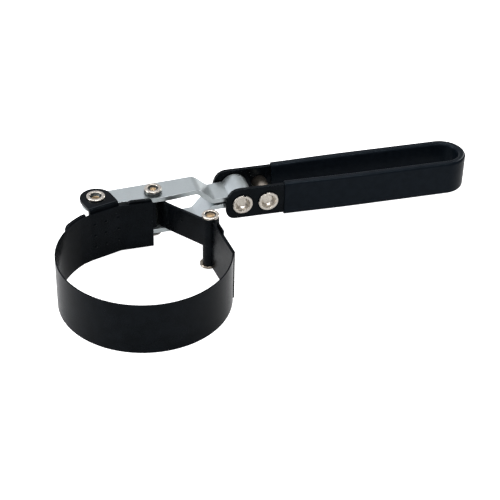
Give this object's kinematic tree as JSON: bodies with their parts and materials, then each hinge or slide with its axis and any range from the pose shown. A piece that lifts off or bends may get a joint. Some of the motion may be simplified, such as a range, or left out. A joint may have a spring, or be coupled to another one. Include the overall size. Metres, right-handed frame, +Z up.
{
  "type": "oil filter wrench",
  "caption": "Band oil filter wrench: a steel loop that a two-plate lever and link draw tight, with a tilting U handle in a vinyl grip.",
  "frame": {"origin": "middle of the footprint, at the lowest point, the underside of the band rivet's head, 1.9 mm below the band's lower rim", "axes": "+X along the handle, away from the loop; +Z up along the loop's axis; +Y from the loop's axis towards the handle's line"},
  "size_m": [0.255, 0.123, 0.0363],
  "materials": {
    "black_paint": "gloss black paint",
    "zinc_plate": "satin zinc plating",
    "nickel": "bright nickel plating",
    "dark_steel": "dark oiled steel",
    "black_vinyl": "satin dipped vinyl"
  },
  "bodies": {
    "anchored_loop": {"filter_band_anchored_side": "black_paint", "anchor_bracket": "black_paint", "lever_pivot_rivet": "nickel"},
    "band_end": {"filter_band_free_side": "black_paint", "band_rivet": "nickel"},
    "lever": {"upper_lever_plate": "zinc_plate", "lower_lever_plate": "zinc_plate", "lever_pivot_spacer": "dark_steel", "link_rivet": "nickel", "upper_link_collar": "dark_steel", "lower_link_collar": "dark_steel"},
    "link": {"link_strap": "black_paint"},
    "handle": {"handle_frame": "black_paint", "handle_grip": "black_vinyl", "swivel_rivet": "nickel", "swivel_bush": "dark_steel", "rear_handle_rivet": "nickel", "rear_spacer_tube": "nickel"}
  },
  "joints": [
    {"name": "lever", "type": "hinge", "parent": "anchored_loop", "child": "lever", "pos_m": [-0.09652, 0.04003, 0.0209], "axis": [0, 0, 1], "range_deg": [0, 20]},
    {"name": "link", "type": "hinge", "parent": "lever", "child": "link", "pos_m": [-0.0638, 0.041, 0.0209], "axis": [0, 0, 1], "range_deg": [-28.9, 0]},
    {"name": "band_flex", "type": "hinge", "parent": "anchored_loop", "child": "band_end", "pos_m": [-0.11027, -0.05008, 0.0169], "axis": [0, 0, 1], "range_deg": [0, 6.2]},
    {"name": "handle_tilt", "type": "hinge", "parent": "lever", "child": "handle", "pos_m": [-0.0127, 0.0476, 0.0209], "axis": [0, 1, 0], "range_deg": [-90, 90]}
  ],
  "couplings": [
    {"joint": "link", "follows": "lever", "ratio": -1.4442},
    {"joint": "band_flex", "follows": "lever", "ratio": 0.3081}
  ]
}
